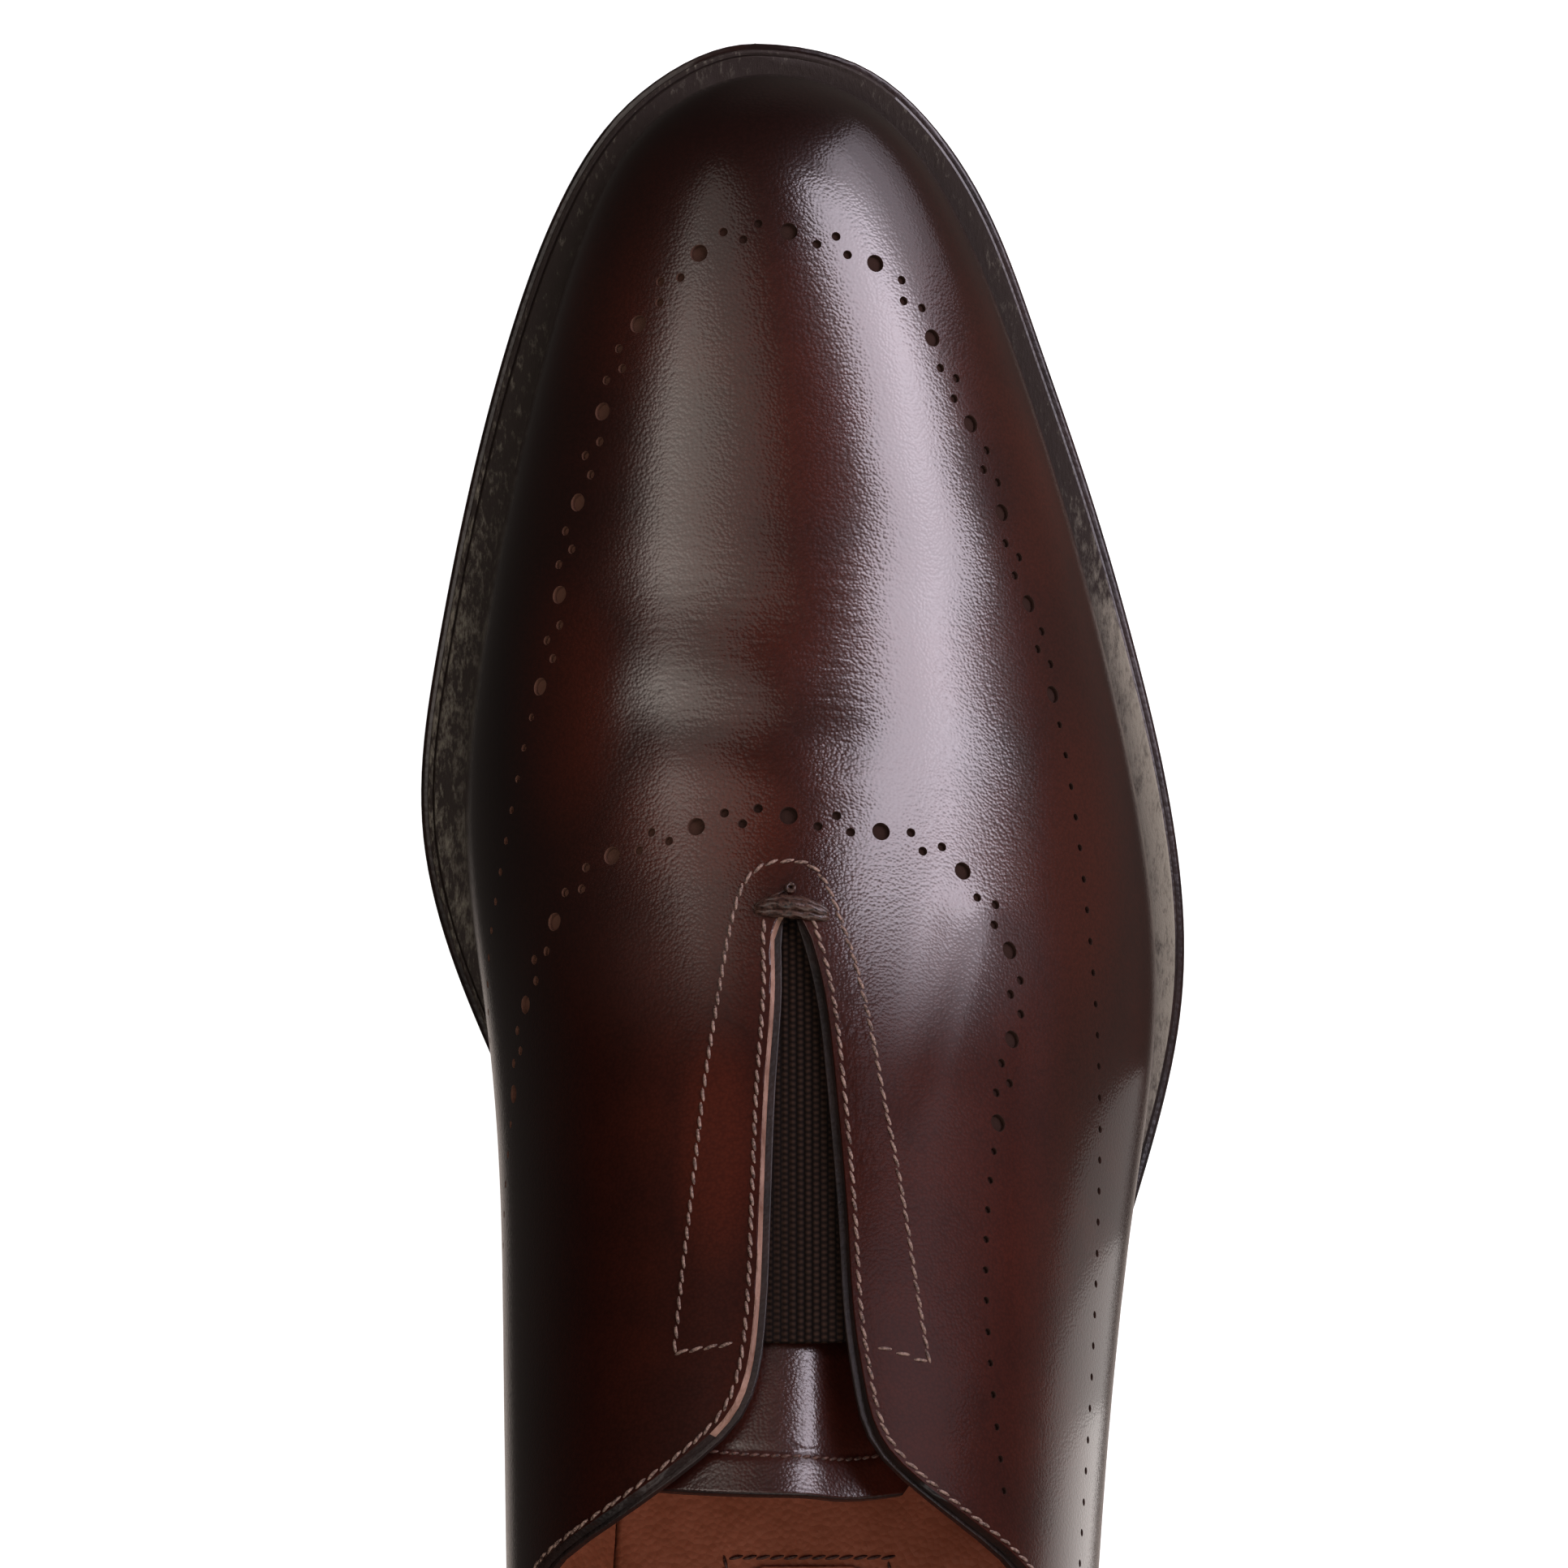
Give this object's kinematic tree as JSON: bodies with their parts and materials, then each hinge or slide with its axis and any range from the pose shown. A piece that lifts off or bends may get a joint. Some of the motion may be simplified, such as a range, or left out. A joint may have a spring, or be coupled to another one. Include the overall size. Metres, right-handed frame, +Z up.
{
  "type": "slip-on dress shoe",
  "caption": "Right slip-on dress shoe: one-piece punched leather upper, slit throat over an elastic gore and tongue, welted leather sole, low stacked heel.",
  "frame": {"origin": "on the floor, under the middle of the shoe's box", "axes": "+Y to the toe, +X to the outside of the right foot, +Z up"},
  "size_m": [0.1078, 0.305, 0.0908],
  "materials": {
    "sole_leather": "dressed dark edge, satin",
    "heel_leather": "stacked and dressed, satin",
    "welt_leather": "dark, matt, lightly worn",
    "sock_leather": "tan, matt",
    "upper_leather": "burnished dark brown, polished",
    "elastic": "ribbed weave, matt",
    "tongue_leather": "burnished dark brown, polished",
    "thread": "waxed thread"
  },
  "bodies": {
    "root": {"outsole": "sole_leather", "heel": "heel_leather", "welt": "welt_leather", "insole": "sock_leather", "upper": "upper_leather", "elastic_gore": "elastic", "tongue": "tongue_leather", "bar_tack": "thread"}
  },
  "joints": []
}
